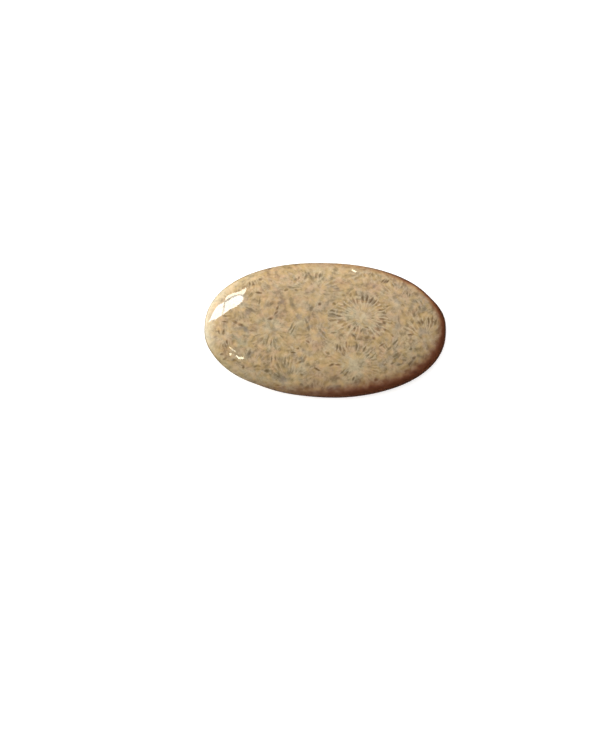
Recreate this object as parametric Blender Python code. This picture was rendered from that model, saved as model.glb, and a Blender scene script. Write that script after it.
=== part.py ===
"""Polished oval of fossil coral, such as a lapidary cuts for a pendant: a domed face, a rounded
shoulder, a steep wall and a flat lapped back with a softened edge. It is one solid piece of stone.

Metres, +Z up. The back lies on Z = 0, the long axis runs along X, and the origin is the centre
of the back's box.
"""

import math

import bmesh
import bpy
from mathutils import Vector

MM = 0.001

# Driving dimensions.
LENGTH = 45.0 * MM  # tip to tip, along X
WIDTH = 25.2 * MM  # across, along Y
THICKNESS = 6.0 * MM  # from the back to the top of the dome

# The oval seen from above.
FULLNESS = 2.13  # 2 is a true ellipse, and more is squarer
GROUND_BY_HAND = (  # (where in degrees, spread in degrees, inwards in metres)
    (32.0, 9.0, 0.17 * MM),  # flat beside the +X end, on the +Y side
    (14.0, 9.0, -0.12 * MM),  # fullness below that flat
    (95.0, 22.0, 0.09 * MM),  # flat along the +Y side
    (192.0, 8.0, -0.13 * MM),  # fullness of the -X end
    (237.0, 9.0, 0.18 * MM),  # flat on the -Y side, beside the -X end
    (279.0, 16.0, -0.12 * MM),  # fullness of the -Y side
)

# The section, from the back up.
GIRDLE_HEIGHT = 0.9 * MM  # height of the widest line above the back
BACK_INSET = 0.8 * MM  # how far the back's flat lies inside the widest line
CROWN_RISE = 1.3 * MM  # gentle rise of the face towards its middle
SHOULDER_RISE = THICKNESS - GIRDLE_HEIGHT - CROWN_RISE
SHOULDER_WIDTH = 6.5 * MM  # how far in the shoulder reaches
SHOULDER_EASE = 2.2  # how softly the shoulder runs out into the crown
WALL_STEEPNESS = 3.0  # 2 is a round wall, and more is steeper at the widest line

# The mesh.
SEGMENTS = 96  # round the oval
BACK_EDGE_RINGS = 4  # from the back's flat out to the widest line
SHOULDER_RINGS = 14  # from the widest line in to the crown
CROWN_RINGS = 6  # from the shoulder's inner end to the middle
SHARPEST_SMOOTH_EDGE = math.radians(40)  # a steeper fold is shaded as an edge

# The finish.
STONE_COLOUR = (0.51, 0.37, 0.21, 1.0)  # warm tan, as linear light
POLISH_ROUGHNESS = 0.12


def hand_grinding(turn):
    """How far the wheel went inside the drawn oval at this turn round it, in metres."""
    inwards = 0.0
    for where, spread, depth in GROUND_BY_HAND:
        away = math.remainder(turn - math.radians(where), math.tau)
        inwards += depth * math.exp(-((away / math.radians(spread)) ** 2))
    return inwards


def oval_point(turn):
    """Point on the widest line, at this turn round the oval, in radians from +X."""
    along, across = math.cos(turn), math.sin(turn)
    swell = (abs(along) ** FULLNESS + abs(across) ** FULLNESS) ** (-1 / FULLNESS)
    drawn = Vector((LENGTH / 2 * along * swell, WIDTH / 2 * across * swell))
    return drawn * (1 - hand_grinding(turn) / drawn.length)


def reach(turn):
    """Distance from the middle to the line that touches the oval at this turn."""
    along, across = math.cos(turn), math.sin(turn)
    return 1 / math.hypot(along / (LENGTH / 2), across / (WIDTH / 2))


def shoulder(inset):
    """Share of the shoulder's rise that is reached this far inside the widest line."""
    left = 1 - min(inset / SHOULDER_WIDTH, 1.0)
    return (1 - left**SHOULDER_EASE) ** (1 / WALL_STEEPNESS)


def face_ring(inset, share):
    """Ring on the domed face: inset from the widest line, then shrunk to this share of itself."""
    ring = []
    for step in range(SEGMENTS):
        turn = math.tau * step / SEGMENTS
        size = (1 - inset / reach(turn)) * share
        depth = (1 - size) * reach(turn)
        height = GIRDLE_HEIGHT + SHOULDER_RISE * shoulder(depth) + CROWN_RISE * (1 - size**2)
        ring.append((*(oval_point(turn) * size), height))
    return ring


def back_ring(quarter):
    """Ring on the back's soft edge: quarter is 0 on the widest line and 1 on the flat back."""
    swing = quarter * math.pi / 2
    inset = BACK_INSET * (1 - math.cos(swing))
    height = GIRDLE_HEIGHT * (1 - math.sin(swing))
    ring = []
    for step in range(SEGMENTS):
        turn = math.tau * step / SEGMENTS
        ring.append((*(oval_point(turn) * (1 - inset / reach(turn))), height))
    return ring


def rings():
    """Every ring of the stone, from the back's flat up to the smallest one round the middle."""
    below = [back_ring(1 - step / BACK_EDGE_RINGS) for step in range(BACK_EDGE_RINGS)]
    on_shoulder = [
        face_ring(SHOULDER_WIDTH * (step / SHOULDER_RINGS) ** WALL_STEEPNESS, 1.0)
        for step in range(SHOULDER_RINGS + 1)
    ]
    on_crown = [
        face_ring(SHOULDER_WIDTH, 1 - step / CROWN_RINGS) for step in range(1, CROWN_RINGS)
    ]
    return below + on_shoulder + on_crown


def closed_loop(mesh, points):
    """Adds the points to the mesh as one closed loop and returns its edges."""
    corners = [mesh.verts.new(point) for point in points]
    return [mesh.edges.new((a, b)) for a, b in zip(corners, corners[1:] + corners[:1])]


def stone_mesh():
    """The stone's skin: rings bridged one to the next, a flat back and a peak on the crown."""
    mesh = bmesh.new()
    loops = [closed_loop(mesh, ring) for ring in rings()]
    for lower, upper in zip(loops, loops[1:]):
        bmesh.ops.bridge_loops(mesh, edges=lower + upper)
    bmesh.ops.contextual_create(mesh, geom=loops[0])
    top = bmesh.ops.contextual_create(mesh, geom=loops[-1])["faces"]
    peak = bmesh.ops.poke(mesh, faces=top)["verts"][0]
    peak.co = (0.0, 0.0, THICKNESS)
    bmesh.ops.recalc_face_normals(mesh, faces=mesh.faces)
    bmesh.ops.translate(mesh, verts=mesh.verts, vec=to_origin(mesh))
    return mesh


def to_origin(mesh):
    """The move that puts the middle of the back's box on the origin."""
    xs = [vert.co.x for vert in mesh.verts]
    ys = [vert.co.y for vert in mesh.verts]
    return Vector((-(max(xs) + min(xs)) / 2, -(max(ys) + min(ys)) / 2, 0.0))


def polished_coral():
    """Silicified coral with a high polish: warm tan stone."""
    material = bpy.data.materials.new("polished_coral")
    material.use_nodes = True
    finish = material.node_tree.nodes["Principled BSDF"]
    finish.inputs["Base Color"].default_value = STONE_COLOUR
    finish.inputs["Roughness"].default_value = POLISH_ROUGHNESS
    finish.inputs["Metallic"].default_value = 0.0
    return material


def fossil_coral_stone():
    """The whole object: one polished oval."""
    data = bpy.data.meshes.new("fossil_coral_stone")
    skin = stone_mesh()
    skin.to_mesh(data)
    skin.free()
    data.materials.append(polished_coral())
    data.shade_smooth()
    data.set_sharp_from_angle(angle=SHARPEST_SMOOTH_EDGE)
    stone = bpy.data.objects.new("fossil_coral_stone", data)
    bpy.context.scene.collection.objects.link(stone)


def main():
    for old in list(bpy.data.objects):
        bpy.data.objects.remove(old)
    fossil_coral_stone()


main()
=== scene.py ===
"""A polished oval of fossil coral lying on a white card, lit by a tall window and a soft room.

Blender 4.5, metres, +Z up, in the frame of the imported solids.
"""

import math

import bpy
from mathutils import Matrix, Vector
from mathutils.bvhtree import BVHTree
from mathutils.interpolate import poly_3d_calc


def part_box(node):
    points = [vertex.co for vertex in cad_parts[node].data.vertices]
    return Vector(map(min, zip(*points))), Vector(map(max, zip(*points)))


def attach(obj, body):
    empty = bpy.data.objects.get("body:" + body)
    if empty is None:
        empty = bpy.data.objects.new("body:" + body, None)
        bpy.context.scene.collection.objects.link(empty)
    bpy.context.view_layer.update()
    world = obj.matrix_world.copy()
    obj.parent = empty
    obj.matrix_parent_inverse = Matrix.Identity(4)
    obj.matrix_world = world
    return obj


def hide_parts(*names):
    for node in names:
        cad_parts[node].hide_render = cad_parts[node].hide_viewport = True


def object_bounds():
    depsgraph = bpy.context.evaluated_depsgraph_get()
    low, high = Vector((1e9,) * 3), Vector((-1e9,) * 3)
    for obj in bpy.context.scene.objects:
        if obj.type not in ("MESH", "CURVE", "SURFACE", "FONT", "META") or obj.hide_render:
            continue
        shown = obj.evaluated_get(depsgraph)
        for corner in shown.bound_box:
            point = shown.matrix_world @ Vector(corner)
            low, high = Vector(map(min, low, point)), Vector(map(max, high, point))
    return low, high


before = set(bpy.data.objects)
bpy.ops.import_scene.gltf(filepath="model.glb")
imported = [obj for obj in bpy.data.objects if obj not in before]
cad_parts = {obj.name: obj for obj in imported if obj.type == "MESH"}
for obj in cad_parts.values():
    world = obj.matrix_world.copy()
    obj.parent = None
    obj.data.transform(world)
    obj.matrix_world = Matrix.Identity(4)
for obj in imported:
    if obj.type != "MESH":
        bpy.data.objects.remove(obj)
cad_low, cad_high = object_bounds()

MM = 0.001


# The camera looks almost straight down through a long lens, and is rolled a little, so that the
# stone lies turned clockwise in a view of 600 by 750 pixels.
LENS = 100.0
SENSOR = 36.0
VIEW_WIDTH, VIEW_HEIGHT = 600, 750
STONE_AT = (325.2, 329.9)  # the pixel that the stone's middle lands on
STONE_SPAN = 241.7  # how many pixels long the stone is
PIXEL = (cad_high.x - cad_low.x) / STONE_SPAN
CAMERA_ELEVATION = math.radians(84.0)
CAMERA_ROLL = math.radians(1.7)
AIM_HEIGHT = 1.5 * MM
NEAREST_SEEN = 10 * MM

camera_right = Vector((math.cos(CAMERA_ROLL), math.sin(CAMERA_ROLL), 0.0))
away = Vector((-math.sin(CAMERA_ROLL), math.cos(CAMERA_ROLL), 0.0))
camera_back = Vector((0.0, 0.0, math.sin(CAMERA_ELEVATION))) - away * math.cos(CAMERA_ELEVATION)
camera_up = camera_back.cross(camera_right)
aim = Vector((0.0, 0.0, AIM_HEIGHT))
aim -= camera_right * (STONE_AT[0] - VIEW_WIDTH / 2) * PIXEL
aim -= camera_up * (VIEW_HEIGHT / 2 - STONE_AT[1]) * PIXEL

lens = bpy.data.cameras.new("camera")
lens.lens = LENS
lens.sensor_width = SENSOR
lens.clip_start = NEAREST_SEEN
camera = bpy.data.objects.new("camera", lens)
bpy.context.scene.collection.objects.link(camera)
turn = Matrix((camera_right, camera_up, camera_back)).transposed().to_4x4()
camera.matrix_world = Matrix.Translation(aim + camera_back * LENS / SENSOR * VIEW_HEIGHT * PIXEL) @ turn
bpy.context.scene.camera = camera
bpy.context.scene.view_settings.view_transform = "Standard"


# The table is a wide sheet of matt white card, lit a little from below like a light table, so that
# the stone lies on clear white. The polish doesn't mirror it.
TABLE_SIZE = 6.0
TABLE_GAP = 0.02 * MM
CARD_WHITE = (0.95, 0.955, 0.965, 1.0)
CARD_ROUGHNESS = 0.8
CARD_SHINE = 0.2
GLOW_WHITE = (1.0, 1.0, 1.0, 1.0)
GLOW_STRENGTH = 0.32

half = TABLE_SIZE / 2
card_corners = [(x, y, -TABLE_GAP) for x, y in ((-half, -half), (half, -half), (half, half), (-half, half))]
card = bpy.data.meshes.new("table")
card.from_pydata(card_corners, [], [(0, 1, 2, 3)])
table = bpy.data.objects.new("table", card)
bpy.context.scene.collection.objects.link(table)
matt_card = bpy.data.materials.new("matt_card")
matt_card.use_nodes = True
finish = matt_card.node_tree.nodes["Principled BSDF"]
finish.inputs["Base Color"].default_value = CARD_WHITE
finish.inputs["Roughness"].default_value = CARD_ROUGHNESS
finish.inputs["Specular IOR Level"].default_value = CARD_SHINE
finish.inputs["Emission Color"].default_value = GLOW_WHITE
finish.inputs["Emission Strength"].default_value = GLOW_STRENGTH
card.materials.append(matt_card)
table.visible_glossy = False


# The stone is one piece of silicified coral. It was sawn to an oval, ground by hand on a wheel to
# a low dome with a short steep wall, polished all over its face and lapped flat behind.
FULLNESS = 2.13  # 2 is a true ellipse, and more is squarer
GROUND_BY_HAND = (  # (where in degrees, spread in degrees, inwards in metres)
    (32.0, 9.0, 0.17 * MM),
    (14.0, 9.0, -0.12 * MM),
    (95.0, 22.0, 0.09 * MM),
    (192.0, 8.0, -0.13 * MM),
    (237.0, 9.0, 0.18 * MM),
    (279.0, 16.0, -0.12 * MM),
)
stone_low, stone_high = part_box("fossil_coral_stone")
STONE_SIZES = {
    "Length": stone_high.x - stone_low.x,
    "Width": stone_high.y - stone_low.y,
    "Thickness": stone_high.z - stone_low.z,
    "Fullness": FULLNESS,
    "Girdle Height": 0.9 * MM,
    "Back Inset": 0.8 * MM,
    "Crown Rise": 1.3 * MM,
    "Shoulder Width": 6.5 * MM,
    "Shoulder Ease": 2.2,
    "Wall Steepness": 3.0,
    "Waviness": 0.005 * MM,
}
FACETS_AROUND = 360
FACETS_ACROSS = 140
BACK_SHARE = 0.12  # how much of the facets across lie on the flat back
EDGE_SHARE = 0.08  # and how much on its soft edge
ROUND_MIDDLE = 1.5  # how the facets across are spaced towards the middle
WAVE_SIZE = 5.0 * MM
WAVES_FROM, WAVES_FULL = 0.5 * MM, 2.0 * MM  # heights between which the waviness of the polish sets in
SAME_POINT = 0.001 * MM


class Number:
    """A number that nodes work out, so that a formula can be written with ordinary signs."""

    def __init__(self, socket):
        self.socket = socket
        self.tree = socket.id_data

    def calc(self, operation, *values):
        """One Math node on the values given, which take this number wherever they say None."""
        node = self.tree.nodes.new("ShaderNodeMath")
        node.operation = operation
        for slot, value in zip(node.inputs, values):
            feed(slot, self if value is None else value)
        return Number(node.outputs[0])

    def __add__(self, other):
        return self.calc("ADD", None, other)

    __radd__ = __add__

    def __sub__(self, other):
        return self.calc("SUBTRACT", None, other)

    def __rsub__(self, other):
        return self.calc("SUBTRACT", other, None)

    def __mul__(self, other):
        return self.calc("MULTIPLY", None, other)

    __rmul__ = __mul__

    def __truediv__(self, other):
        return self.calc("DIVIDE", None, other)

    def __rtruediv__(self, other):
        return self.calc("DIVIDE", other, None)

    def __pow__(self, other):
        return self.calc("POWER", None, other)

    def __abs__(self):
        return self.calc("ABSOLUTE", None)

    def step(self, low, high, smooth=True):
        """0 below low and 1 above high, gently between the two if smooth."""
        node = self.tree.nodes.new("ShaderNodeMapRange")
        node.interpolation_type = "SMOOTHSTEP" if smooth else "LINEAR"
        for slot, value in zip(node.inputs, (self, low, high, 0.0, 1.0)):
            feed(slot, value)
        return Number(node.outputs[0])


def feed(slot, value):
    """Links a socket to what nodes worked out, or sets it to a plain value."""
    if isinstance(value, Number):
        value.tree.links.new(value.socket, slot)
    elif isinstance(value, bpy.types.NodeSocket):
        value.id_data.links.new(value, slot)
    else:
        slot.default_value = value


def made(tree, kind, values=(), **settings):
    """A node of this kind with its settings, and its inputs fed by name or by place."""
    node = tree.nodes.new(kind)
    for name, value in settings.items():
        setattr(node, name, value)
    for key, value in dict(values).items():
        feed(node.inputs[key], value)
    return node


def split(tree, vector):
    """The three numbers of a vector."""
    node = made(tree, "ShaderNodeSeparateXYZ", {0: vector})
    return [Number(socket) for socket in node.outputs]


def painted(tree, share, under, over):
    """The colour under, with this share of the colour over laid on it."""
    under = (*under, 1.0) if isinstance(under, tuple) else under
    over = (*over, 1.0) if isinstance(over, tuple) else over
    node = made(tree, "ShaderNodeMix", {0: share, 6: under, 7: over}, data_type="RGBA")
    return node.outputs[2]


def dotted(tree, vector, way):
    """How far a vector goes this way."""
    node = made(tree, "ShaderNodeVectorMath", {0: vector, 1: way}, operation="DOT_PRODUCT")
    return Number(node.outputs["Value"])


def joined(tree, x, y, z=0.0):
    """A vector of three numbers."""
    return made(tree, "ShaderNodeCombineXYZ", {0: x, 1: y, 2: z}).outputs[0]


def ground_in(tree, turned):
    """How far the wheel went inside the drawn oval at this turn round it."""
    inwards = 0.0
    for where, spread, depth in GROUND_BY_HAND:
        off = (turned - math.radians(where)).calc("WRAP", None, math.pi, -math.pi)
        spot = (off / math.radians(spread)) ** 2 * -1.0
        inwards = spot.calc("EXPONENT", None) * depth + inwards
    return inwards


def stone_tree(material):
    """The nodes that draw the stone: a grid wrapped round the oval, from the back to the crown."""
    tree = bpy.data.node_groups.new("cut_oval", "GeometryNodeTree")
    for name in STONE_SIZES:
        tree.interface.new_socket(name=name, in_out="INPUT", socket_type="NodeSocketFloat")
    for name in ("Facets Around", "Facets Across"):
        tree.interface.new_socket(name=name, in_out="INPUT", socket_type="NodeSocketInt")
    tree.interface.new_socket(name="Geometry", in_out="OUTPUT", socket_type="NodeSocketGeometry")
    given = tree.nodes.new("NodeGroupInput").outputs
    size = {name: Number(given[name]) for name in STONE_SIZES}

    facets = {"Vertices X": given["Facets Around"], "Vertices Y": given["Facets Across"]}
    grid = made(tree, "GeometryNodeMeshGrid", {"Size X": 1.0, "Size Y": 1.0, **facets})
    place = tree.nodes.new("GeometryNodeInputPosition").outputs[0]
    around, across, _ = split(tree, place)
    turned = (around + 0.5) * math.tau
    back = (across + 0.5).step(0.0, BACK_SHARE, smooth=False)
    edge = (across + 0.5).step(BACK_SHARE, BACK_SHARE + EDGE_SHARE, smooth=False)
    face = (across + 0.5).step(BACK_SHARE + EDGE_SHARE, 1.0, smooth=False)

    cosine, sine = turned.calc("COSINE", None), turned.calc("SINE", None)
    fullness = size["Fullness"]
    swell = (abs(cosine) ** fullness + abs(sine) ** fullness) ** (-1.0 / fullness)
    drawn_x = size["Length"] / 2 * cosine * swell
    drawn_y = size["Width"] / 2 * sine * swell
    drawn = (drawn_x**2 + drawn_y**2) ** 0.5
    trim = 1.0 - ground_in(tree, turned) / drawn
    reach = 1.0 / ((cosine / size["Length"] * 2) ** 2 + (sine / size["Width"] * 2) ** 2) ** 0.5

    quarter = (1.0 - edge) * (math.pi / 2)
    inset = size["Back Inset"] * (1.0 - quarter.calc("COSINE", None))
    on_face = 1.0 - (1.0 - (face * (math.pi / 2)).calc("COSINE", None)) ** ROUND_MIDDLE
    share = (back * (math.pi / 2)).calc("SINE", None) * (1.0 - inset / reach) * on_face
    left = 1.0 - ((1.0 - on_face) * reach / size["Shoulder Width"]).calc("MINIMUM", None, 1.0)
    shoulder = (1.0 - left ** size["Shoulder Ease"]) ** (1.0 / size["Wall Steepness"])
    rise = size["Thickness"] - size["Girdle Height"] - size["Crown Rise"]
    height = size["Girdle Height"] * (1.0 - quarter.calc("SINE", None))
    height = height + rise * shoulder + size["Crown Rise"] * (1.0 - on_face**2)
    ring = joined(tree, drawn_x * trim * share, drawn_y * trim * share, height)
    wrapped = made(tree, "GeometryNodeSetPosition", {"Geometry": grid.outputs["Mesh"], "Position": ring})
    seam = {"Geometry": wrapped.outputs[0], "Distance": SAME_POINT}
    closed = made(tree, "GeometryNodeMergeByDistance", seam)

    wave = made(tree, "ShaderNodeTexNoise", {"Vector": place, "Scale": 1.0 / WAVE_SIZE, "Detail": 1.0})
    _, _, above = split(tree, place)
    swing = (Number(wave.outputs[0]) - 0.5) * 2.0 * size["Waviness"] * above.step(WAVES_FROM, WAVES_FULL)
    normal = tree.nodes.new("GeometryNodeInputNormal").outputs[0]
    push = made(tree, "ShaderNodeVectorMath", {0: normal, "Scale": swing}, operation="SCALE").outputs[0]
    moved = {"Geometry": closed.outputs[0], "Offset": push}
    waved = made(tree, "GeometryNodeSetPosition", moved).outputs[0]

    box = made(tree, "GeometryNodeBoundBox", {"Geometry": waved})
    spans, shifts = [], []
    lows, highs = split(tree, box.outputs["Min"]), split(tree, box.outputs["Max"])
    for low, high, name in zip(lows, highs, ("Length", "Width", "Thickness")):
        span = size[name] / (high - low)
        spans.append(span)
        shifts.append(low * span * -1.0 if name == "Thickness" else (low + high) * span * -0.5)
    to_size = {"Geometry": waved, "Translation": joined(tree, *shifts), "Scale": joined(tree, *spans)}
    fitted = made(tree, "GeometryNodeTransform", to_size)
    smooth = made(tree, "GeometryNodeSetShadeSmooth", {"Geometry": fitted.outputs[0]})
    real = made(tree, "GeometryNodeRealizeInstances", {"Geometry": smooth.outputs[0]})
    finished = made(tree, "GeometryNodeSetMaterial", {"Geometry": real.outputs[0], "Material": material})
    out = tree.nodes.new("NodeGroupOutput")
    tree.links.new(finished.outputs[0], out.inputs["Geometry"])
    return tree


# The coral is silica that took the place of a reef coral. Its cups stand side by side like straws
# and run right through the stone, each with thin septa like spokes and dark gaps between them. The
# ground between the cups is tan, stained by iron, and clouded with chalcedony.
CUPS = (  # (x, y, radius x, y in mm, turn in degrees, how clear, how one-sided, clearest toward)
    (6.9, 2.6, 4.1, 2.9, 0.0, 1.00, 0.0, 0.0),
    (-9.9, -0.2, 3.3, 2.6, 20.0, 0.60, 0.4, 250.0),
    (-2.2, 7.3, 4.0, 2.6, -5.0, 0.75, 0.5, 80.0),
    (5.5, -6.4, 3.8, 3.0, 0.0, 0.70, 0.4, 60.0),
    (18.5, -1.4, 2.6, 3.3, 0.0, 0.90, 0.5, 100.0),
    (-18.9, -1.6, 2.2, 2.6, 0.0, 0.35, 0.3, 300.0),
    (-13.7, 10.2, 2.6, 2.2, 10.0, 0.50, 0.4, 290.0),
    (13.2, 5.8, 2.7, 3.0, -15.0, 0.50, 0.2, 120.0),
    (8.8, 12.2, 3.2, 2.2, 0.0, 0.45, 0.2, 270.0),
    (-6.6, -10.6, 3.4, 3.4, 0.0, 0.50, 0.6, 90.0),
    (-13.6, -7.4, 2.8, 2.6, 20.0, 0.35, 0.0, 0.0),
    (12.6, -4.4, 2.3, 2.4, 0.0, 0.45, 0.2, 90.0),
    (-1.6, -1.2, 2.5, 2.4, 0.0, 0.25, 0.0, 0.0),
    (-16.4, 4.4, 2.6, 2.2, 0.0, 0.35, 0.0, 0.0),
    (-0.8, -12.4, 2.8, 2.4, 0.0, 0.30, 0.0, 0.0),
    (13.0, -11.0, 2.8, 2.2, 0.0, 0.30, 0.0, 0.0),
    (20.6, 5.0, 2.4, 2.4, 0.0, 0.35, 0.0, 0.0),
)
FAINTEST_CUP = 0.12
SLOT_SPACING = 0.66  # from one gap between septa to the next, round a cup, in mm
SLOT_WOBBLE = 1.4  # how far the slots stray round the cup, in slots
WOBBLE_FIELD = 1.8
STRANDS_FIELD = 7.5  # how fine the pale and dark strands are round a cup
FIRST_RING = (1.00, 0.08, 0.75, 0.19, 0.90)  # (share of the radius, spread, length, half width, many)
SECOND_RING = (1.42, 0.14, 0.65, 0.20, 0.50)
FIRST_RING_DARK, SECOND_RING_DARK, INNER_DARK, GAPS_DARK = 0.62, 0.60, 0.60, 0.90
RING_STOREY, LOOSE_STOREY = 2.6, 3.0  # how far down the straws a gap reaches, in mm
INNER_GAPS, OUTER_GAPS = (0.7, 1.1, 1.0), (1.0, 1.25, 2.0)  # (how many to a slot, length in mm, seed)
INNER_MANY, OUTER_MANY, BLOTS_MANY = 0.60, 0.45, 0.35
BLOTS_TO_A_MM = 0.85
MOTTLE_FIELD = (0.9, 2.0, 0.4)  # (how many to a mm, detail, roughness)
STAIN_FIELD = (0.55, 2.0)
MOOD_FIELD = (0.21, 2.0)
WORM_FIELD = (1.25, 1.0)
STRAND_FIELD = (1.0, 2.0, 0.6)
BENDS = ((0.25, 0.8), (1.2, 0.36))  # (how many to a mm, how far in mm) that the straws sway
RAGGED_BY = (1.5, 0.32)  # and that the edges of the listed marks do
STRAWS_DRAWN_IN = 1.0117  # how much closer together the straws stand on top than they are listed
STRAWS_SPREAD = 0.0026  # and how much of that they lose for each mm down
STRAWS_WIDER_Y = 0.9945  # what is left of it along Y
STRAWS_BACK = 0.47  # how far they stand towards -Y on top, in mm
STRAWS_LEAN_X, STRAWS_LEAN_Y = 0.03, 0.105  # towards -X and +Y for each mm down
STRAWS_LONG = 0.25  # how much slower the marks change along the straws than across them

# What stands out in and between the cups. Each mark is an oval: (x, y, length, width in mm, turn in
# degrees). The open gaps are filled with brown clay, the streaks with grey-green agate.
OPEN_GAPS = (
    (6.8, 5.9, 1.2, 0.38, 95), (7.6, 5.85, 1.2, 0.42, 80), (8.5, 5.75, 1.0, 0.36, 62),
    (9.1, 5.4, 1.1, 0.32, 48), (9.9, 4.5, 1.2, 0.34, 28), (10.3, 4.0, 1.2, 0.34, 15),
    (11.6, 4.7, 0.9, 0.28, 22), (10.5, 2.2, 0.9, 0.40, -8), (10.9, 1.6, 0.7, 0.45, -20),
    (11.4, 0.1, 1.4, 0.38, -25), (12.5, -0.8, 0.8, 0.28, -48), (9.8, 0.3, 0.8, 0.36, -40),
    (7.6, 0.6, 0.8, 0.32, -20), (6.7, -0.1, 0.7, 0.30, 75), (5.4, 0.2, 0.8, 0.36, 80),
    (4.4, 0.6, 0.8, 0.40, 50), (3.6, 1.0, 0.9, 0.42, 35), (2.9, 1.6, 1.0, 0.42, 20),
    (2.4, 2.6, 1.1, 0.34, -12), (1.3, 2.9, 1.0, 0.34, -8), (1.2, 3.5, 0.9, 0.36, -12),
    (3.6, 4.5, 0.9, 0.45, 130), (5.1, 5.6, 1.1, 0.34, 112), (5.8, 5.5, 0.9, 0.30, 100),
    (-5.9, 8.9, 0.9, 0.52, 65), (-5.2, 9.5, 0.7, 0.34, 60), (-3.9, 9.7, 0.9, 0.50, 60),
    (-3.1, 9.9, 1.6, 0.38, 115), (-2.0, 10.0, 0.9, 0.38, 82), (-1.3, 10.1, 0.9, 0.34, 78),
    (-7.5, 7.2, 0.6, 0.42, 30), (-5.6, 7.2, 0.7, 0.28, 0), (-1.2, 4.7, 0.6, 0.45, 70),
    (1.5, 4.8, 0.6, 0.45, 20), (3.2, 6.5, 0.5, 0.36, 0), (4.6, 6.6, 0.7, 0.42, 80),
    (5.3, -1.2, 1.2, 0.42, -60), (5.9, -3.1, 1.2, 0.36, 87), (4.0, -2.7, 1.0, 0.26, 88),
    (4.5, -2.7, 1.0, 0.26, 88), (2.3, -3.3, 1.2, 0.34, 80), (2.85, -3.35, 1.1, 0.36, 100),
    (0.5, -4.4, 0.8, 0.36, -30), (7.9, -1.3, 0.8, 0.50, 20), (9.1, -1.4, 0.6, 0.45, -10),
    (10.6, -2.6, 1.1, 0.32, 35), (7.4, -3.4, 1.0, 0.28, 62), (1.3, -6.6, 1.1, 0.38, 20),
    (2.6, -6.5, 1.0, 0.36, 0), (-1.3, -7.5, 1.1, 0.36, -25), (-4.7, -6.3, 1.0, 0.38, 28),
    (-4.2, -8.6, 0.5, 0.45, 0), (5.5, -9.0, 0.7, 0.32, 70), (9.7, -9.0, 0.7, 0.55, 40),
    (10.5, 9.4, 0.9, 0.28, 48), (10.95, 9.3, 0.9, 0.28, 48), (11.4, 9.3, 0.8, 0.28, 48),
    (12.3, 8.7, 0.9, 0.32, 120), (7.1, 10.4, 0.6, 0.38, 110), (8.6, 10.5, 0.7, 0.34, 90),
    (17.5, 1.7, 0.9, 0.36, 120), (18.05, 1.9, 0.8, 0.32, 108), (19.2, 2.3, 1.1, 0.28, 98),
    (19.95, 2.6, 1.2, 0.28, 88), (20.5, 1.9, 1.1, 0.34, 75), (16.0, -0.5, 0.9, 0.34, 0),
    (16.0, -3.2, 0.6, 0.42, 30), (16.7, -4.8, 0.6, 0.48, 40), (-10.3, 1.7, 0.9, 0.50, 20),
    (-9.1, 3.7, 0.9, 0.34, 62), (-9.3, 2.8, 0.8, 0.34, 50), (-12.6, 6.5, 1.1, 0.40, -8),
    (-13.6, 7.9, 0.9, 0.36, 100), (-14.3, 8.2, 0.7, 0.32, 95), (-12.3, 9.0, 0.7, 0.45, 30),
    (-16.9, 0.9, 1.0, 0.38, -22), (-18.7, 0.9, 1.0, 0.26, -5), (-18.9, -1.1, 0.9, 0.42, 85),
    (-17.1, -2.9, 0.8, 0.52, 70), (-19.1, -5.2, 0.6, 0.38, 20), (-12.4, -7.2, 0.9, 0.38, 5),
    (-10.6, -8.0, 0.7, 0.55, 10), (-16.7, -6.2, 0.7, 0.45, 20), (-15.0, -7.5, 0.6, 0.40, 60),
    (-8.5, -10.6, 0.7, 0.32, 0), (-3.2, -2.4, 0.8, 0.30, -35), (-5.0, -3.7, 0.5, 0.34, 0),
    (-5.9, -4.5, 0.8, 0.30, -10), (-15.7, 0.4, 1.0, 0.50, -20), (-19.8, -0.8, 0.9, 0.30, 100),
    (-18.2, -2.8, 0.8, 0.30, 105), (-18.5, -6.0, 0.7, 0.35, 30), (-18.3, 2.0, 1.2, 0.30, 5),
)
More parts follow.
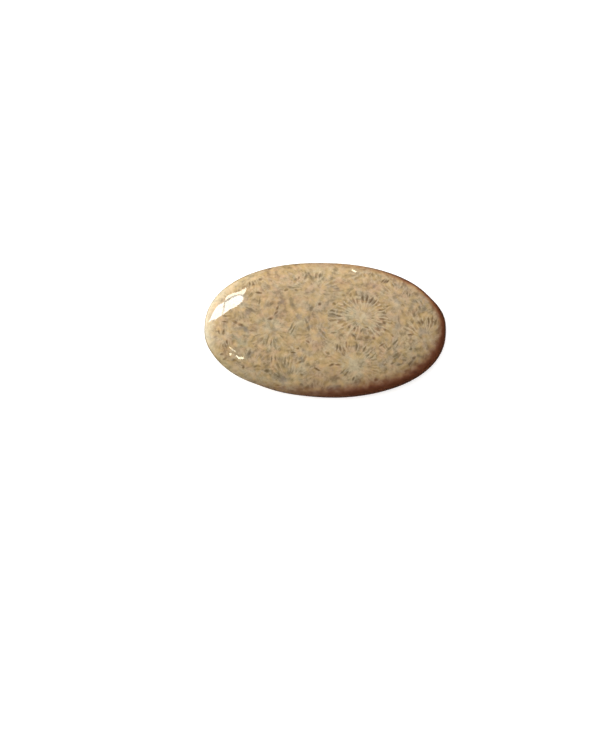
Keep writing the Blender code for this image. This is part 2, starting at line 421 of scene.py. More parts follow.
AGATE_STREAKS = (
    (-3.35, 0.7, 1.7, 0.45, 108), (-6.4, 0.2, 1.9, 0.30, 62), (-6.0, -0.2, 1.7, 0.24, 60),
    (-0.5, -0.7, 1.9, 0.38, -50), (-3.7, -5.6, 1.2, 0.42, 70), (-10.7, -2.2, 1.8, 0.34, 75),
    (-10.0, -2.6, 1.4, 0.24, 80), (-14.0, -4.7, 0.9, 0.44, 70), (-9.8, -5.8, 1.3, 0.26, 88),
    (-9.2, -5.6, 1.3, 0.24, 92), (-7.3, -6.0, 1.5, 0.26, 90), (-6.6, -6.1, 1.5, 0.28, 86),
    (12.9, -2.2, 1.8, 0.34, 45), (12.1, -3.1, 1.6, 0.32, 42), (13.5, -4.3, 1.5, 0.42, 30),
    (14.5, -5.4, 1.2, 0.50, 15), (8.3, -4.4, 1.7, 0.26, 50), (8.9, -4.8, 1.7, 0.24, 48),
    (3.5, -7.7, 1.3, 0.26, 45), (4.1, -8.1, 1.1, 0.24, 52), (16.4, 3.5, 1.2, 0.50, 100),
    (-3.1, -10.9, 0.9, 0.45, 60), (1.5, -0.6, 0.9, 0.35, 10), (-2.6, 4.0, 1.1, 0.55, 60),
    (11.2, -6.2, 0.7, 0.38, 10), (15.1, 7.2, 0.9, 0.30, 95), (15.6, 6.9, 0.8, 0.28, 85),
    (-12.4, 4.9, 1.6, 0.26, 85), (15.0, -6.6, 1.5, 0.45, 30), (13.2, -5.2, 1.2, 0.45, 45),
    (15.9, -5.9, 1.1, 0.36, 50), (17.4, 4.7, 1.0, 0.40, 110), (17.9, 5.4, 0.9, 0.32, 130),
    (13.9, -4.5, 1.3, 0.36, 60), (14.2, -6.0, 1.2, 0.36, 20), (12.8, -5.8, 1.0, 0.32, 30),
    (15.6, -7.1, 1.0, 0.36, 30), (17.0, 5.5, 0.9, 0.32, 120), (16.9, 4.2, 0.8, 0.28, 80),
)
CLOUDS = (  # blue-grey chalcedony
    (13.7, 0.9, 1.5, 1.7, 0), (13.3, 5.7, 1.5, 1.1, 0), (17.3, 5.0, 2.2, 1.9, -20),
    (14.1, -5.6, 2.0, 1.5, 20), (10.6, -6.3, 1.3, 1.0, 0), (18.0, 0.1, 1.5, 1.4, 0),
    (2.1, -10.7, 3.6, 1.3, 5), (-7.1, -9.5, 1.5, 1.5, 0), (0.8, 7.9, 2.4, 1.3, -15),
    (-15.3, -0.5, 1.7, 1.2, -10), (-13.8, -4.8, 1.2, 1.0, 40), (-3.2, 0.7, 1.2, 1.5, 0),
    (-0.6, -0.8, 1.4, 1.2, 0), (-4.3, -5.8, 1.2, 1.0, 0),
)
LILAC_SPOTS = (  # and its lilac kind
    (-14.6, 2.7, 1.4, 1.5, 20), (-8.2, 4.7, 1.2, 0.9, 0), (-5.0, 2.2, 1.3, 1.0, 0),
    (18.4, 6.4, 2.2, 1.2, -40), (-7.6, -9.8, 1.2, 1.2, 0), (9.2, 8.4, 1.8, 0.9, 10),
)
OCHRE_PATCHES = (  # iron-stained
    (-5.5, 11.0, 6.0, 1.4, 5), (1.5, 10.8, 5.0, 1.5, -3), (7.0, 9.8, 3.0, 1.8, 20),
    (4.7, 6.4, 1.8, 1.4, 0), (2.2, 4.9, 1.6, 1.2, 40), (-0.9, -5.0, 2.4, 2.4, 0),
    (2.0, -2.6, 3.0, 1.4, 10), (5.6, -2.4, 2.2, 0.9, 20), (-6.6, 2.0, 1.6, 2.8, 20),
    (-7.4, -4.3, 2.4, 1.4, 0), (10.4, 6.1, 2.0, 1.4, 30), (11.5, 4.5, 1.6, 2.0, 0),
    (11.4, 1.3, 1.8, 1.6, 0), (15.3, 1.4, 1.4, 1.8, 0), (14.9, -2.6, 1.4, 4.2, 0),
    (17.9, 3.0, 1.3, 2.0, 20), (-14.2, 7.0, 1.4, 3.2, 15), (-13.8, 1.0, 1.1, 3.2, 5),
    (-20.3, -0.6, 2.4, 2.6, 0), (-19.7, -4.0, 1.6, 2.4, 20), (-11.8, -7.1, 5.5, 1.3, -5),
    (-12.8, 9.6, 3.0, 1.4, 20),
)
ROSE_PATCHES = (  # and the redder kind
    (-2.4, 1.7, 2.4, 1.3, 15), (-3.2, 7.7, 2.6, 1.8, 0), (-1.4, -3.3, 2.6, 1.6, 10),
    (3.0, 8.6, 3.2, 1.2, -5), (-8.3, 4.9, 1.8, 1.6, 0), (-1.4, -8.3, 3.0, 1.2, -20),
    (7.5, -1.2, 3.2, 1.2, 8), (8.9, 8.0, 3.2, 1.6, 15), (12.1, 3.0, 1.4, 1.6, 0),
    (13.6, 9.5, 3.4, 1.3, -24), (19.9, -2.6, 1.5, 3.2, -12), (-17.6, 1.0, 3.2, 1.4, -15),
    (-16.0, -7.5, 2.0, 1.4, 0), (-13.6, 0.0, 1.6, 1.6, 0), (-10.4, 9.5, 3.0, 1.4, 0),
    (-18.9, -5.2, 1.4, 1.2, 0),
)
MOSS_PATCHES = (  # and the grey-green one, in and round the cups' hearts
    (4.4, 2.6, 2.2, 3.0, 0), (8.5, 0.7, 2.4, 1.2, -20), (-10.2, 0.9, 3.4, 2.2, 0),
    (-9.0, -3.1, 3.4, 3.0, 0), (-6.3, -0.4, 1.6, 3.0, -25), (1.0, -0.4, 2.0, 1.3, 0),
    (5.0, -7.0, 4.0, 3.0, 0), (-4.4, -7.5, 3.0, 3.0, 0), (8.5, -4.6, 2.8, 2.0, 45),
    (-15.3, -3.2, 2.6, 2.2, 0),
)
SMOKY_PATCHES = (
    (13.7, -5.1, 3.8, 3.2, 25), (15.2, -6.6, 3.8, 2.2, 20), (17.3, 5.0, 3.6, 3.0, -20),
    (-8.3, 4.8, 1.6, 1.4, 0), (-14.6, 2.7, 1.6, 1.7, 20), (-17.3, 1.0, 2.6, 0.9, -18),
    (-17.6, -2.4, 2.6, 1.8, 30), (-13.9, -4.9, 1.6, 1.4, 30), (-0.6, -0.9, 1.0, 1.7, 20),
    (-19.0, -1.0, 1.2, 1.4, 0), (-9.6, 1.9, 1.6, 0.9, 20), (-8.5, -7.6, 5.2, 3.6, 0),
    (2.1, -10.8, 4.0, 1.2, 5), (-10.6, -8.0, 1.4, 1.1, 0), (-2.6, 4.2, 1.9, 1.3, 30),
    (17.6, -4.6, 2.0, 1.2, 40), (0.8, 7.9, 2.0, 1.0, -15), (-14.2, 7.0, 1.0, 2.0, 15),
    (13.5, 9.5, 2.0, 0.9, -24), (-15.4, -0.4, 1.4, 1.0, 0), (-13.7, 0.6, 0.9, 1.6, 0),
    (-10.3, 0.7, 1.2, 1.0, 0),
)
PALE_PATCHES = (
    (10.2, 2.9, 2.0, 1.5, 0), (8.6, 0.7, 2.6, 1.3, -20), (5.2, -7.0, 3.8, 2.8, 0),
    (-4.3, -7.6, 2.8, 2.6, 0), (2.0, -2.4, 2.6, 1.1, 10), (1.4, 10.9, 3.6, 1.3, 0),
    (12.1, 3.0, 1.4, 1.8, 0), (0.9, -3.7, 2.2, 1.6, 0), (-16.0, -7.4, 2.0, 1.4, 0),
    (-1.3, -8.1, 2.6, 1.1, -20), (15.4, 1.2, 1.4, 2.0, 0), (15.0, -2.2, 1.2, 3.0, 0),
    (6.9, 2.8, 2.6, 2.2, 0), (10.9, -6.6, 1.8, 1.6, 0), (10.3, 6.2, 1.6, 1.0, 30),
)
TAN = (0.350, 0.274, 0.178)
OCHRE = (0.405, 0.278, 0.118)
SEPTUM_CREAM = (0.490, 0.398, 0.264)
HEART_CREAM = (0.440, 0.364, 0.242)
GAP_BROWN = (0.112, 0.066, 0.032)
GAP_OLIVE = (0.127, 0.093, 0.050)
CHALCEDONY = (0.267, 0.229, 0.176)
ROSE = (0.365, 0.225, 0.130)
MOSS = (0.355, 0.308, 0.192)
LILAC = (0.220, 0.160, 0.124)
SMOKE = (0.135, 0.104, 0.066)
PATCHES = (  # (marks, colour, share of the colour at a patch's middle)
    (MOSS_PATCHES, MOSS, 0.65),
    (OCHRE_PATCHES, OCHRE, 0.60),
    (ROSE_PATCHES, ROSE, 0.55),
    (PALE_PATCHES, SEPTUM_CREAM, 0.42),
    (SMOKY_PATCHES, SMOKE, 0.38),
)
PATCH_FADES, CLOUD_FADES, STREAK_FADES, GAP_FADES = (0.3, 1.5), (0.4, 1.5), (0.3, 1.8), (0.35, 1.8)
PATCH_RAGGED, CLOUD_RAGGED = 2.0, 1.5
CLOUD_SHARE, LILAC_SHARE, STREAK_SHARE = 0.48, 0.45, 0.76
MOTTLE_DEPTH, MOTTLE_LEVEL = 1.0, 1.010  # how strong the fine light and dark is, and its middle
POLISH, POLISH_VARIES, LAPPED_DULLER = 0.045, 0.03, 0.30  # roughness
LAPPED_UP_TO = (0.02, 0.5)  # the heights in mm between which the lapped back turns to polish
SILICA_IOR = 1.54

# The rim's colours, each on one side of the stone: a painted glow of window light through the edge on the
# window's side, an amber band, and a rind of iron stain that painted shade darkens on the far side. Turns
# are cosines of the angle away from that side, and the colour sets in from the first to the second. Reaches
# say how far inside the rim it fades, from the first to the second: in mm for gold and amber, in shares of
# its width for the rind.
PAINTED_RIM_GLOW = (0.480, 0.420, 0.240)
GOLD_SIDE, GOLD_TURNS, GOLD_REACHES, GOLD_SHARE = math.radians(185.0), (0.45, 0.85), (0.3, 2.0), 0.24
AMBER = (0.420, 0.225, 0.095)
AMBER_SIDE, AMBER_TURNS, AMBER_REACHES, AMBER_SHARE = math.radians(25.0), (0.1, 0.7), (0.2, 1.6), 0.35
# The rind's red and near-black are iron stain and painted shade together, darkest on the side away from the
# light.
RIND_RED_AND_SHADE = (0.150, 0.034, 0.012)
RED_REACHES, RED_SHARE = (0.30, 1.35), 0.92
RIND_DARK_AND_SHADE = (0.072, 0.022, 0.009)
DARK_REACHES, DARK_SHARE = (0.05, 0.75), 0.90
SHADED_RIND_SIDE, SHADED_RIND_TURNS = math.radians(-20.0), (-0.50, 0.75)
SHADED_RIND_WIDEST = math.radians(-48.0)
SHADED_RIND_WIDTH, SHADED_RIND_WIDENS, SHADED_RIND_SWELLS = 0.85, 1.55, 1.3  # in mm, by how much more, and how suddenly
RIM_MOTTLED, RIM_UNEVEN = 0.45, 0.30


def noise(tree, place, scale, detail=2.0, roughness=0.5):
    """Smooth noise at a place: (one number, three numbers as a colour), all about 0.5."""
    values = {"Vector": place, "Scale": scale, "Detail": detail, "Roughness": roughness}
    node = made(tree, "ShaderNodeTexNoise", values)
    return Number(node.outputs[0]), node.outputs[1]


def swayed(tree, place, field, reach):
    """The place moved sideways by a noise field, by up to about this far."""
    _, sway = noise(tree, place, field, 1.0)
    values = {0: sway, 1: (reach, reach, 0.0), 2: (-reach / 2, -reach / 2, 0.0)}
    shift = made(tree, "ShaderNodeVectorMath", values, operation="MULTIPLY_ADD").outputs[0]
    return made(tree, "ShaderNodeVectorMath", {0: place, 1: shift}, operation="ADD").outputs[0]


def blended(tree, share, under, over):
    """A vector between two."""
    return made(tree, "ShaderNodeMix", {0: share, 4: under, 5: over}, data_type="VECTOR").outputs[1]


def oval(tree, place, x, y, half_length, half_width, turn):
    """Where a place, given as (x, y, 1), lies in an oval: (along, across, how far), 1 at its edge."""
    cosine, sine = math.cos(turn), math.sin(turn)
    middle_along, middle_across = x * cosine + y * sine, y * cosine - x * sine
    along = dotted(tree, place, (cosine / half_length, sine / half_length, -middle_along / half_length))
    across = dotted(tree, place, (-sine / half_width, cosine / half_width, -middle_across / half_width))
    return along, across, (along * along + across * across) ** 0.5


def nearest_mark(tree, place, marks):
    """How far a place is from the middle of the nearest mark, where 1 is the mark's edge."""
    nearest = 99.0
    for x, y, length, width, angle in marks:
        _, _, away_by = oval(tree, place, x, y, length / 2, width / 2, math.radians(angle))
        nearest = away_by.calc("MINIMUM", None, nearest)
    return nearest


def nearest_cup(tree, place):
    """The cup a place belongs to: the place in it, its facts, its clear side, how far, the border."""
    best, second = 99.0, 99.0
    inside, facts, side = (0.0, 0.0, 0.0), (1.0, 0.0, 1.0), (0.0, 0.0, 0.0)
    for number, (x, y, radius_x, radius_y, angle, clear, one_sided, facing) in enumerate(CUPS):
        along, across, away_by = oval(tree, place, x, y, radius_x, radius_y, math.radians(angle))
        nearer = away_by.calc("LESS_THAN", None, best)
        radius = (radius_x + radius_y) / 2
        slots = round(math.tau * radius / SLOT_SPACING)
        inside = blended(tree, nearer, inside, joined(tree, along, across))
        facts = blended(tree, nearer, facts, (radius, float(number), float(slots)))
        facing, lean = math.radians(facing - angle), clear * one_sided
        seen = (lean * math.cos(facing), lean * math.sin(facing), clear * (1.0 - one_sided))
        side = blended(tree, nearer, side, seen)
        second = away_by.calc("MAXIMUM", None, best).calc("MINIMUM", None, second)
        best = away_by.calc("MINIMUM", None, best)
    return inside, facts, side, best, second - best


def ring_of_gaps(tree, cup, place_in_ring, seed):
    """One ring of dark gaps between the septa, placed as FIRST_RING says."""
    share, spread, length, half_width, many = place_in_ring
    draw = made(tree, "ShaderNodeTexWhiteNoise", {"Vector": joined(tree, cup["slot"], cup["which"], seed)})
    one, two, three = split(tree, draw.outputs["Color"])
    storey = ((cup["depth"] + one * 2.0 - 1.0) / RING_STOREY).calc("FLOOR", None)
    storey = storey.calc("MAXIMUM", None, 0.0)
    in_storey = joined(tree, cup["slot"], cup["which"], storey + (seed + 9.0))
    again = made(tree, "ShaderNodeTexWhiteNoise", {"Vector": in_storey})
    middle = ((two - 0.5) * (2.0 * spread) + share) * cup["radius"]
    half_length = (three * 0.8 + 0.6) * (length / 2)
    lengthways = (abs(cup["out"] - middle) - half_length).calc("MAXIMUM", None, 0.0)
    off = (lengthways**2 + cup["crossways"] ** 2) ** 0.5
    wide = (one * 0.5 + 0.75) * half_width
    there = 1.0 - off.step(wide - 0.10, wide + 0.14)
    return there * Number(again.outputs["Value"]).calc("LESS_THAN", None, many) * (two * 0.4 + 0.6)


def scattered_gaps(tree, cup, to_a_slot, length, seed):
    """Gaps that stand anywhere along the septa: (how dark a place is for them, each one's lot)."""
    round_cup = cup["counted"] * to_a_slot + seed * 7.3
    along = joined(tree, round_cup, cup["out"] / length, cup["depth"] / LOOSE_STOREY)
    cells = made(tree, "ShaderNodeTexVoronoi", {"Vector": along, "Scale": 1.0, "Randomness": 0.85})
    one, two, _ = split(tree, cells.outputs["Color"])
    wide = one * 0.16 + 0.16
    return (1.0 - Number(cells.outputs["Distance"]).step(wide - 0.03, wide + 0.13)) * (two * 0.5 + 0.5), two


def along_straws(tree, in_mm, depth):
    """A place as the listed marks see it: the straws lean, and draw together on their way up."""
    x, y, z = split(tree, in_mm)
    drawn_in = STRAWS_DRAWN_IN - depth * STRAWS_SPREAD
    leaned_x = x * drawn_in + depth * STRAWS_LEAN_X
    leaned_y = y * drawn_in * STRAWS_WIDER_Y + STRAWS_BACK - depth * STRAWS_LEAN_Y
    return joined(tree, leaned_x, leaned_y, z * STRAWS_LONG)


def level(tree, place):
    """The place with 1 for its height, as the ovals take it."""
    x, y, _ = split(tree, place)
    return joined(tree, x, y, 1.0)


def cup_at(tree, place, depth):
    """All that the marks of a cup follow: how far out and how far round it this place lies."""
    inside, facts, side, far, border = nearest_cup(tree, place)
    radius, which, slots = split(tree, facts)
    side_x, side_y, clear = split(tree, side)
    u, v, _ = split(tree, inside)
    angle = v.calc("ARCTAN2", None, u)
    cosine, sine = angle.calc("COSINE", None), angle.calc("SINE", None)
    round_cup = joined(tree, cosine * WOBBLE_FIELD, sine * WOBBLE_FIELD, which * 5.3)
    wobble, _ = noise(tree, round_cup, 1.0, 1.0)
    counted = angle * slots / math.tau + (wobble - 0.5) * SLOT_WOBBLE
    slot = counted.calc("FLOOR", None)
    sideways = abs(counted - slot - 0.5)
    out = far * radius
    return {
        "which": which,
        "radius": radius,
        "depth": depth,
        "far": far,
        "out": out,
        "border": border,
        "clear": (clear + side_x * cosine + side_y * sine).calc("MAXIMUM", None, FAINTEST_CUP),
        "counted": counted,
        "slot": slot.calc("FLOORED_MODULO", None, slots),
        "sideways": sideways,
        "crossways": sideways * out * math.tau / slots,
        "strand": joined(tree, cosine * STRANDS_FIELD, sine * STRANDS_FIELD, out + which * 3.1),
    }


def dark_gaps(tree, cup, bent, lively):
    """How dark a place is for the gaps round and in its cup, and for the blots in the ground."""
    far, clear = cup["far"], cup["clear"]
    ring = ring_of_gaps(tree, cup, FIRST_RING, 0.5) * clear * FIRST_RING_DARK
    second_ring = ring_of_gaps(tree, cup, SECOND_RING, 1.5) * clear * SECOND_RING_DARK
    inner, inner_lot = scattered_gaps(tree, cup, *INNER_GAPS)
    outer, outer_lot = scattered_gaps(tree, cup, *OUTER_GAPS)
    between = (1.0 - far.step(0.70, 0.90)) * far.step(0.1, 0.4)
    inner = inner * inner_lot.calc("LESS_THAN", None, INNER_MANY) * between * INNER_DARK
    loose = far.step(1.05, 1.25).calc("MAXIMUM", None, 1.0 - clear.step(0.30, 0.75))
    outer = outer * outer_lot.calc("LESS_THAN", None, OUTER_MANY) * loose
    outer = outer * (lively.step(0.35, 0.6) * 0.4 + 0.2)

    blots = made(tree, "ShaderNodeTexVoronoi", {"Vector": bent, "Scale": BLOTS_TO_A_MM})
    blot_size, blot_lot, blot_dark = split(tree, blots.outputs["Color"])
    blot = 1.0 - Number(blots.outputs["Distance"]).step(blot_size * 0.12 + 0.06, blot_size * 0.12 + 0.22)
    blot = blot * blot_lot.calc("LESS_THAN", None, BLOTS_MANY) * (blot_dark * 0.35 + 0.10)

    gaps = ring
    for others in (second_ring, inner, outer, blot):
        gaps = gaps.calc("MAXIMUM", None, others)
    return gaps


def rim_stains_and_painted_light(tree, colour, x, y, mottle, lively):
    """The colour with a painted glow of window light on the window's side of the rim, an amber band, and
    the coral's old skin that an off-centre cut left: stained by iron, with painted shade on the side away
    from the light.
    """
    half_x, half_y = STONE_SIZES["Length"] / MM / 2, STONE_SIZES["Width"] / MM / 2
    across_x, across_y = x / half_x, y / half_y
    round_by = (across_x**2 + across_y**2) ** 0.5
    way_x, way_y = across_x / round_by, across_y / round_by
    full = (abs(across_x) ** FULLNESS + abs(across_y) ** FULLNESS) ** (1.0 / FULLNESS)
    reach = 1.0 / ((way_x / half_x) ** 2 + (way_y / half_y) ** 2) ** 0.5
    from_rim = (1.0 - full) * reach
    unevenly = (mottle - 0.5) * RIM_MOTTLED + (lively - 0.5) * RIM_UNEVEN

    def turned_to(side):
        """How squarely this place of the rim faces a side, from -1 to 1."""
        return way_x * math.cos(side) + way_y * math.sin(side)

    # A painted glow of window light through the translucent edge, along the window's side of the rim.
    painted_glow = turned_to(GOLD_SIDE).step(*GOLD_TURNS) * (1.0 - (from_rim + unevenly).step(*GOLD_REACHES))
    colour = painted(tree, painted_glow * GOLD_SHARE, colour, PAINTED_RIM_GLOW)
    amber = turned_to(AMBER_SIDE).step(*AMBER_TURNS) * (1.0 - (from_rim + unevenly).step(*AMBER_REACHES))
    colour = painted(tree, amber * AMBER_SHARE, colour, AMBER)
    # The rind: iron stain darkened with painted shade and painted dark reflection on the far side from the
    # window.
    widening = turned_to(SHADED_RIND_WIDEST).calc("MAXIMUM", None, 0.0) ** SHADED_RIND_SWELLS
    into_shaded_rind = from_rim / (widening * SHADED_RIND_WIDENS + SHADED_RIND_WIDTH) + unevenly
    there = turned_to(SHADED_RIND_SIDE).step(*SHADED_RIND_TURNS)
    colour = painted(tree, (1.0 - into_shaded_rind.step(*RED_REACHES)) * there * RED_SHARE, colour, RIND_RED_AND_SHADE)
    return painted(tree, (1.0 - into_shaded_rind.step(*DARK_REACHES)) * there * DARK_SHARE, colour, RIND_DARK_AND_SHADE)


def coral(material):
    """Paints the cups, their septa and the dark gaps, the clouds between them, and the rim: its stains, a
    painted glow and painted shade.
    """
    tree = material.node_tree
    shader = tree.nodes["Principled BSDF"]
    raw = made(tree, "ShaderNodeTexCoord").outputs["Object"]
    in_mm = made(tree, "ShaderNodeVectorMath", {0: raw, "Scale": 1.0 / MM}, operation="SCALE").outputs[0]
    x, y, z = split(tree, in_mm)
    depth = (stone_high.z - stone_low.z) / MM - z
    leaned = along_straws(tree, in_mm, depth)
    bent = leaned
    for field, reach in BENDS:
        bent = swayed(tree, bent, field, reach)
    ragged = level(tree, swayed(tree, leaned, *RAGGED_BY))
    cup = cup_at(tree, level(tree, bent), depth)
    far, clear = cup["far"], cup["clear"]

    mottle, tints = noise(tree, in_mm, *MOTTLE_FIELD)
    worms, _ = noise(tree, bent, *WORM_FIELD)
    lively, moods = noise(tree, in_mm, *MOOD_FIELD)
    _, stains = noise(tree, in_mm, *STAIN_FIELD)
    tint_one, tint_two, pores = split(tree, tints)
    warm, grey, rose = split(tree, moods)
    yellow_spot, rose_spot, lilac_spot = split(tree, stains)
    strands, _ = noise(tree, cup["strand"], *STRAND_FIELD)
    radial = far.step(0.30, 0.80) * clear.step(0.05, 0.45)
    strands = (strands - pores) * radial + pores
    open_gap = nearest_mark(tree, ragged, OPEN_GAPS)
    streak = nearest_mark(tree, ragged, AGATE_STREAKS)

    # The ground and its stains, then what is drawn in it, each as (share, colour) over what is there.
    heart = 1.0 - far.step(0.30, 0.80)
    wall = 1.0 - cup["border"].step(0.0, 0.5)
    colour = TAN
    for share, over in (
        (warm.step(0.35, 0.62) * 0.50, OCHRE),
        (wall * 0.28, OCHRE),
        (heart * 0.7, HEART_CREAM),
        (rose.step(0.50, 0.68) * 0.38, ROSE),
        (grey.step(0.48, 0.66) * 0.48, MOSS),
        (yellow_spot.step(0.50, 0.66) * 0.60, OCHRE),
        (rose_spot.step(0.50, 0.66) * 0.42, ROSE),
        (lilac_spot.step(0.56, 0.70) * 0.35, LILAC),
    ):
        colour = painted(tree, share, colour, over)
    soft_edge = (mottle - 0.5) * PATCH_RAGGED
    for patches, over, share in PATCHES:
        within = 1.0 - (nearest_mark(tree, ragged, patches) + soft_edge).step(*PATCH_FADES)
        colour = painted(tree, within * share, colour, over)

    rays = cup["sideways"].step(0.22, 0.46) * far.step(0.25, 0.5) * (1.0 - far.step(1.2, 1.6))
    round_mark = open_gap.calc("MINIMUM", None, streak)
    lips = round_mark.step(1.0, 1.5) * (1.0 - round_mark.step(1.8, 2.6))
    worm = 1.0 - abs(worms - 0.5).step(0.012, 0.055)
    rough_edge = (mottle - 0.5) * CLOUD_RAGGED
    cloudy = 1.0 - (nearest_mark(tree, ragged, CLOUDS) + rough_edge).step(*CLOUD_FADES)
    lilac = 1.0 - (nearest_mark(tree, ragged, LILAC_SPOTS) + rough_edge).step(*CLOUD_FADES)
    gap_colour = painted(tree, grey.step(0.50, 0.62) * 0.8, GAP_BROWN, GAP_OLIVE)
    for share, over in (
        (rays * (clear**2 * 0.6 + 0.06), SEPTUM_CREAM),
        (strands.step(0.50, 0.68) * 0.44, SEPTUM_CREAM),
        ((1.0 - strands.step(0.34, 0.49)) * 0.44, GAP_OLIVE),
        (lips * 0.22, SEPTUM_CREAM),
        (worm * (1.0 - lively.step(0.42, 0.62) * 0.5) * 0.24, GAP_OLIVE),
        (cloudy * CLOUD_SHARE, CHALCEDONY),
        (lilac * LILAC_SHARE, LILAC),
        (dark_gaps(tree, cup, bent, lively) * GAPS_DARK, gap_colour),
        ((1.0 - streak.step(*STREAK_FADES)) * STREAK_SHARE, GAP_OLIVE),
        ((1.0 - open_gap.step(*GAP_FADES)) * (tint_one * 0.5 + 0.60), gap_colour),
        (tint_one.step(0.50, 0.68) * 0.34, ROSE),
        (tint_two.step(0.50, 0.66) * 0.46, OCHRE),
    ):
        colour = painted(tree, share, colour, over)
    shade = (mottle - 0.5) * MOTTLE_DEPTH + MOTTLE_LEVEL
    colour = made(tree, "ShaderNodeVectorMath", {0: colour, "Scale": shade}, operation="SCALE").outputs[0]
    # The rim goes on last: its stains, a painted glow and painted shade.
    feed(shader.inputs["Base Color"], rim_stains_and_painted_light(tree, colour, x, y, mottle, lively))

    lapped = 1.0 - z.step(*LAPPED_UP_TO)
    feed(shader.inputs["Roughness"], (mottle - 0.5) * POLISH_VARIES + POLISH + lapped * LAPPED_DULLER)
    shader.inputs["IOR"].default_value = SILICA_IOR


polished_coral = bpy.data.materials.new("polished_coral")
polished_coral.use_nodes = True
coral(polished_coral)

start = bpy.data.meshes.new("start")
maker = bpy.data.objects.new("fossil_coral", start)
bpy.context.scene.collection.objects.link(maker)
shape = maker.modifiers.new("cut_oval", "NODES")
shape.node_group = stone_tree(polished_coral)
asked = shape.node_group.interface.items_tree
sockets = {item.name: item.identifier for item in asked if item.in_out == "INPUT"}
for name, value in STONE_SIZES.items():
    shape[sockets[name]] = value
shape[sockets["Facets Around"]] = FACETS_AROUND
shape[sockets["Facets Across"]] = FACETS_ACROSS
seen = maker.evaluated_get(bpy.context.evaluated_depsgraph_get())
stone_mesh = bpy.data.meshes.new_from_object(seen)
maker.modifiers.clear()
maker.data = stone_mesh
stone_mesh.name = "fossil_coral"
bpy.data.meshes.remove(start)

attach(maker, "root")
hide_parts("fossil_coral_stone")


# The window stands to the upper left: two tall panes in a frame, and a dimmer pane beside them. Only
# the polish shows them, and each corner is named by the pixel of the view that mirrors it. A soft box
# in the same quarter and a bright ceiling light the stone and throw no shadow.
WINDOW_DISTANCE = 1.0
WINDOW_FACES = (143.0, 30.0)  # turn from +X and height, in degrees
LOWER_PANE = (
    (208.5, 322.5), (210.5, 318.5), (214.5, 310.0), (218.5, 305.0), (224.0, 302.3), (223.3, 309.0),
    (221.9, 315.3), (215.5, 319.5),
)
UPPER_PANE = (
    (225.5, 302.5), (230.0, 299.5), (236.0, 296.0), (239.5, 295.5), (242.5, 296.0), (243.5, 298.5),
    (242.0, 302.0), (236.5, 306.5), (230.0, 309.5), (223.0, 314.5), (224.4, 308.0),
)
SIDE_PANE = (
    (225.0, 300.5), (226.5, 296.5), (232.0, 293.5), (239.5, 291.5), (246.5, 287.5), (246.0, 291.0),
    (243.5, 294.5), (237.5, 294.5), (231.5, 296.5),
)
FRAME = (
    (221.5, 315.0), (222.5, 308.0), (223.0, 303.5), (225.0, 300.0), (231.5, 296.0), (237.5, 294.0),
    (244.0, 294.0), (243.5, 297.0), (240.0, 297.0), (232.0, 299.5), (226.0, 304.0), (225.5, 309.0),
    (224.0, 313.0),
)
FRAME_DISTANCE = 1.02  # behind the panes, so that it shows between them
SKY_ON_FRAME = (0.30, 0.70, 1.0, 1.0)
FRAME_STRENGTH = 4.2
DAYLIGHT = (1.0, 0.99, 0.97, 1.0)
EVENING_SIDE = (1.0, 0.95, 0.84, 1.0)
PANE_STRENGTH = 16.5
SIDE_STRENGTH = 15.0
BOX_FACES = (112.0, 40.0)
BOX_SIZE = 0.9
BOX_STRENGTH = 2.6
CEILING_FACES = (0.0, 90.0)
CEILING_SIZE = 2.6
CEILING_STRENGTH = 0.72

stone_skin = BVHTree.FromPolygons(
    [corner.co for corner in stone_mesh.vertices], [face.vertices for face in stone_mesh.polygons]
)


def mirrored(pixel):
    """The place on the stone that this pixel shows, and the way in which the polish looks there."""
    lens_at = camera.matrix_world.translation
    through = aim + camera_right * (pixel[0] - VIEW_WIDTH / 2) * PIXEL
    through += camera_up * (VIEW_HEIGHT / 2 - pixel[1]) * PIXEL
    sight = (through - lens_at).normalized()
    place, _, number, _ = stone_skin.ray_cast(lens_at, sight)
    corners = [stone_mesh.vertices[corner] for corner in stone_mesh.polygons[number].vertices]
    shares = poly_3d_calc([corner.co for corner in corners], place)
    normal = sum((corner.normal * share for corner, share in zip(corners, shares)), Vector())
    return place, sight.reflect(normal.normalized())


def toward(around, height):
    """The direction that lies this far round from +X and this high, in degrees."""
    a, h = math.radians(around), math.radians(height)
    return Vector((math.cos(h) * math.cos(a), math.cos(h) * math.sin(a), math.sin(h)))


def glowing_pane(name, seen_at, colour, strength, faces=WINDOW_FACES, distance=WINDOW_DISTANCE):
    """A flat sheet of even light that the polish mirrors at these pixels, and that lights nothing."""
    facing = toward(*faces)
    points = []
    for pixel in seen_at:
        place, way = mirrored(pixel)
        points.append(place + way * ((distance - place.dot(facing)) / way.dot(facing)))
    sheet = bpy.data.meshes.new(name)
    sheet.from_pydata(points, [], [tuple(range(len(points)))])
    glow = bpy.data.materials.new(name)
    glow.use_nodes = True
    glow.node_tree.nodes.clear()
    emission = glow.node_tree.nodes.new("ShaderNodeEmission")
    emission.inputs["Color"].default_value = colour
    emission.inputs["Strength"].default_value = strength
    out = glow.node_tree.nodes.new("ShaderNodeOutputMaterial")
    glow.node_tree.links.new(emission.outputs[0], out.inputs["Surface"])
    sheet.materials.append(glow)
    pane = bpy.data.objects.new(name, sheet)
    bpy.context.scene.collection.objects.link(pane)
    pane.visible_camera = False
    pane.visible_diffuse = False


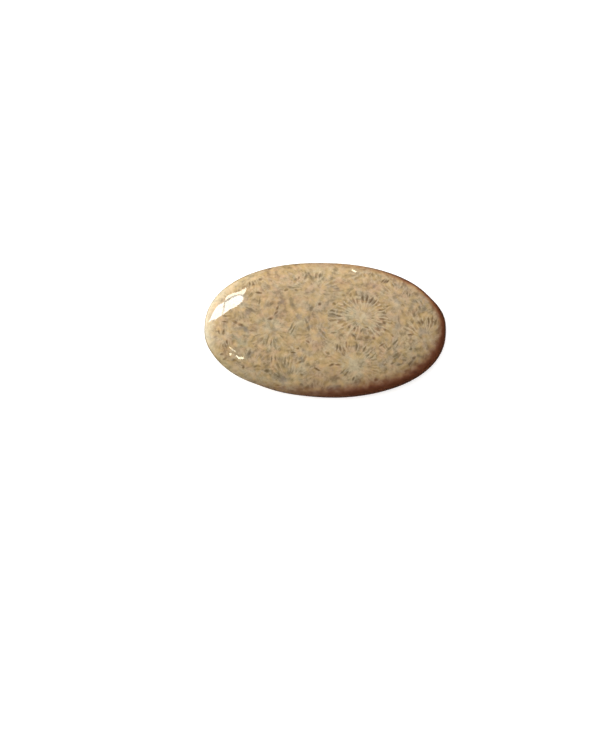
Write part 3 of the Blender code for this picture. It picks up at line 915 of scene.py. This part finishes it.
def soft_light(name, direction, size, colour, radiance):
    """A flat square lamp of this radiance that lights the stone and isn't mirrored in it."""
    bulb = bpy.data.lights.new(name, "AREA")
    bulb.shape = "SQUARE"
    bulb.size = size
    bulb.color = colour
    bulb.energy = radiance * math.pi * size**2
    bulb.use_shadow = False
    lamp = bpy.data.objects.new(name, bulb)
    bpy.context.scene.collection.objects.link(lamp)
    ray = toward(*direction)
    lamp.location = ray * WINDOW_DISTANCE
    lamp.rotation_mode = "QUATERNION"
    lamp.rotation_quaternion = ray.to_track_quat("Z", "Y")
    lamp.visible_camera = False
    lamp.visible_glossy = False


glowing_pane("window_lower", LOWER_PANE, DAYLIGHT, PANE_STRENGTH)
glowing_pane("window_upper", UPPER_PANE, DAYLIGHT, PANE_STRENGTH)
glowing_pane("window_side", SIDE_PANE, EVENING_SIDE, SIDE_STRENGTH)
glowing_pane("window_frame", FRAME, SKY_ON_FRAME, FRAME_STRENGTH, WINDOW_FACES, FRAME_DISTANCE)
soft_light("soft_box", BOX_FACES, BOX_SIZE, DAYLIGHT[:3], BOX_STRENGTH)
soft_light("ceiling", CEILING_FACES, CEILING_SIZE, DAYLIGHT[:3], CEILING_STRENGTH)


# Small lamps about the room, which only the polish shows, and the room itself. It is pale on the
# window's side, glows round the window and is dim on the far side, where the card's edge is dark,
# and so the steep wall mirrors dark there. The lamps are placed as the window is.
NEAR_FACES = (-138.0, 50.0)
FAR_FACES = (84.0, 9.0)
LAMP_BLOB = (
    (229.0, 354.0), (230.0, 353.0), (231.0, 353.0), (232.0, 354.0), (231.0, 355.0), (229.5, 355.0),
)
LAMP_HOOK = (
    (235.5, 356.0), (236.5, 355.0), (239.0, 357.0), (243.5, 357.0), (244.0, 358.0), (243.0, 359.0),
    (239.5, 359.0), (237.5, 358.0),
)
LAMP_THREAD = ((229.5, 346.5), (236.5, 351.5), (236.0, 352.5), (229.0, 347.5))
LAMP_SPARK = ((232.0, 349.5), (233.0, 350.0), (233.0, 351.0), (232.0, 350.5))
LAMP_FAR = (
    (352.0, 269.5), (353.0, 269.5), (356.0, 271.0), (357.0, 272.0), (354.5, 272.0), (352.5, 271.0),
)
LAMP_COLOUR = (1.0, 0.93, 0.68, 1.0)
LAMP_STRENGTH = 20.0
THREAD_STRENGTH = 12.0
SPARK_STRENGTH = 10.0
ROOM_DIM = (0.16, 0.15, 0.14)
ROOM_PALE = (0.62, 0.61, 0.60)
PALE_FROM = (125.0, 15.0)
PALE_EDGE = (-0.2, 0.8)
HORIZON = (-0.02, 0.0)
BELOW_CARD = (0.045, 0.036, 0.030)
GLOW_COLOUR = (3.6, 3.55, 3.15)
GLOW_FROM = (164.0, -7.0)
GLOW_INNER = math.cos(math.radians(18.0))
GLOW_OUTER = math.cos(math.radians(59.0))

for name, seen_at, strength, faces in (
    ("lamp_blob", LAMP_BLOB, LAMP_STRENGTH, NEAR_FACES),
    ("lamp_hook", LAMP_HOOK, LAMP_STRENGTH, NEAR_FACES),
    ("lamp_thread", LAMP_THREAD, THREAD_STRENGTH, NEAR_FACES),
    ("lamp_spark", LAMP_SPARK, SPARK_STRENGTH, NEAR_FACES),
    ("lamp_far", LAMP_FAR, LAMP_STRENGTH, FAR_FACES),
):
    glowing_pane(name, seen_at, LAMP_COLOUR, strength, faces)

room = bpy.data.worlds.new("room")
room.use_nodes = True
air = room.node_tree
ray = made(air, "ShaderNodeTexCoord").outputs["Generated"]
_, _, upward = split(air, ray)
walls = painted(air, dotted(air, ray, toward(*PALE_FROM)).step(*PALE_EDGE), ROOM_DIM, ROOM_PALE)
walls = painted(air, upward.step(*HORIZON), BELOW_CARD, walls)
near_glow = dotted(air, ray, toward(*GLOW_FROM)).step(GLOW_OUTER, GLOW_INNER)
walls = painted(air, near_glow, walls, GLOW_COLOUR)
feed(air.nodes["Background"].inputs["Color"], walls)
bpy.context.scene.world = room
